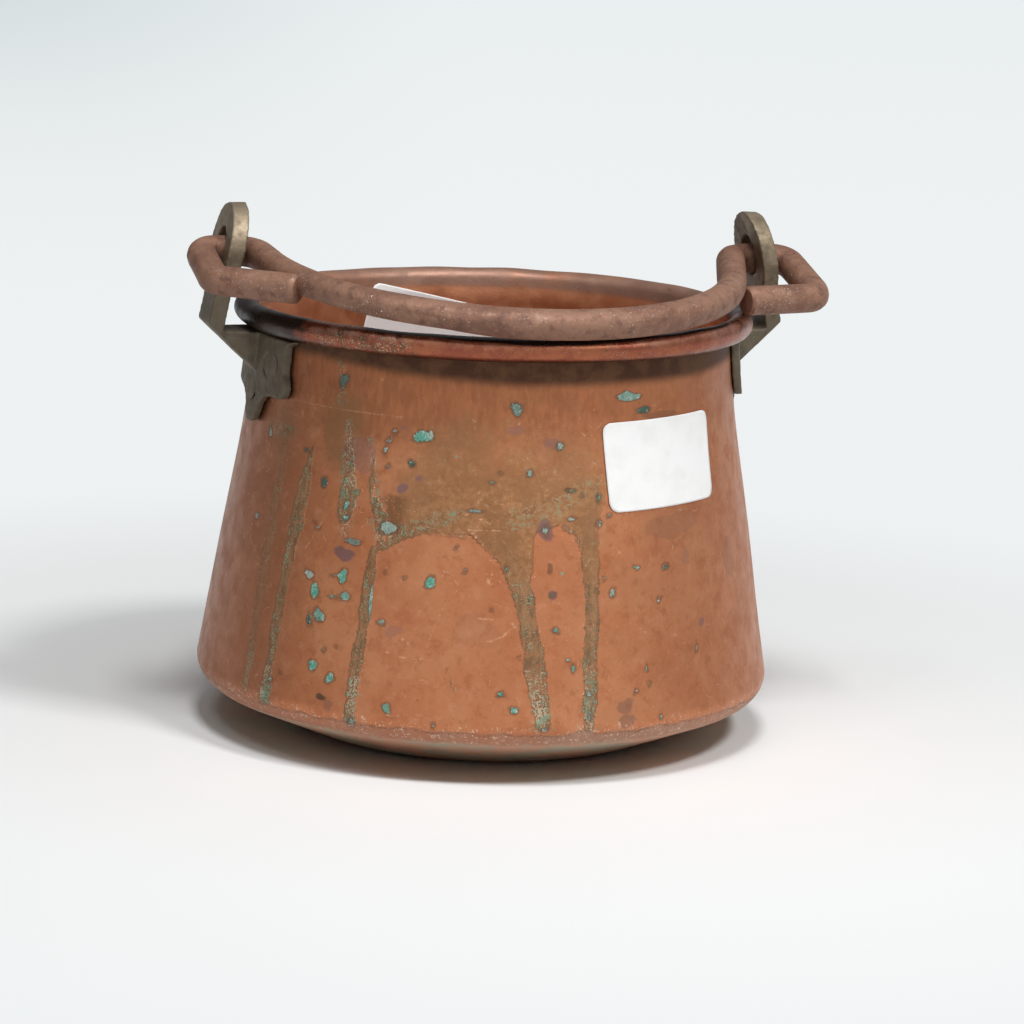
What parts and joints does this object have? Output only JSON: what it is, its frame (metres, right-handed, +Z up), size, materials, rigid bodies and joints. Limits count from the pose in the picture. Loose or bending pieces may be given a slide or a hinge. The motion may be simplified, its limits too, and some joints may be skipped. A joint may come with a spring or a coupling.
{
  "type": "copper cauldron",
  "caption": "Open round copper pot with a rolled rim, riveted brass ears and a folding forged iron bail handle.",
  "frame": {"origin": "centre of the flat base, on the surface that the pot stands on", "axes": "+Z up, +X through the right ear, bail folded down towards -Y"},
  "size_m": [0.1609, 0.144, 0.1318],
  "materials": {
    "copper": "aged copper, satin, with green and brown patina",
    "brass": "dull cast brass, olive brown",
    "rivets": "peened copper, dull",
    "iron": "forged, brown oxide with worn bright spots"
  },
  "bodies": {
    "pot": {"pot_body": "copper", "rim_wire": "iron", "left_ear": "brass", "right_ear": "brass", "left_rivet_front": "rivets", "left_rivet_rear": "rivets", "left_rivet_low": "rivets", "right_rivet_front": "rivets", "right_rivet_rear": "rivets", "right_rivet_low": "rivets"},
    "bail": {"bail_handle": "iron"}
  },
  "joints": [
    {"name": "bail_swing", "type": "hinge", "parent": "pot", "child": "bail", "pos_m": [0, 0, 0.11895], "axis": [-0.9999, 0, 0.014], "range_deg": [0, 193.9]}
  ]
}
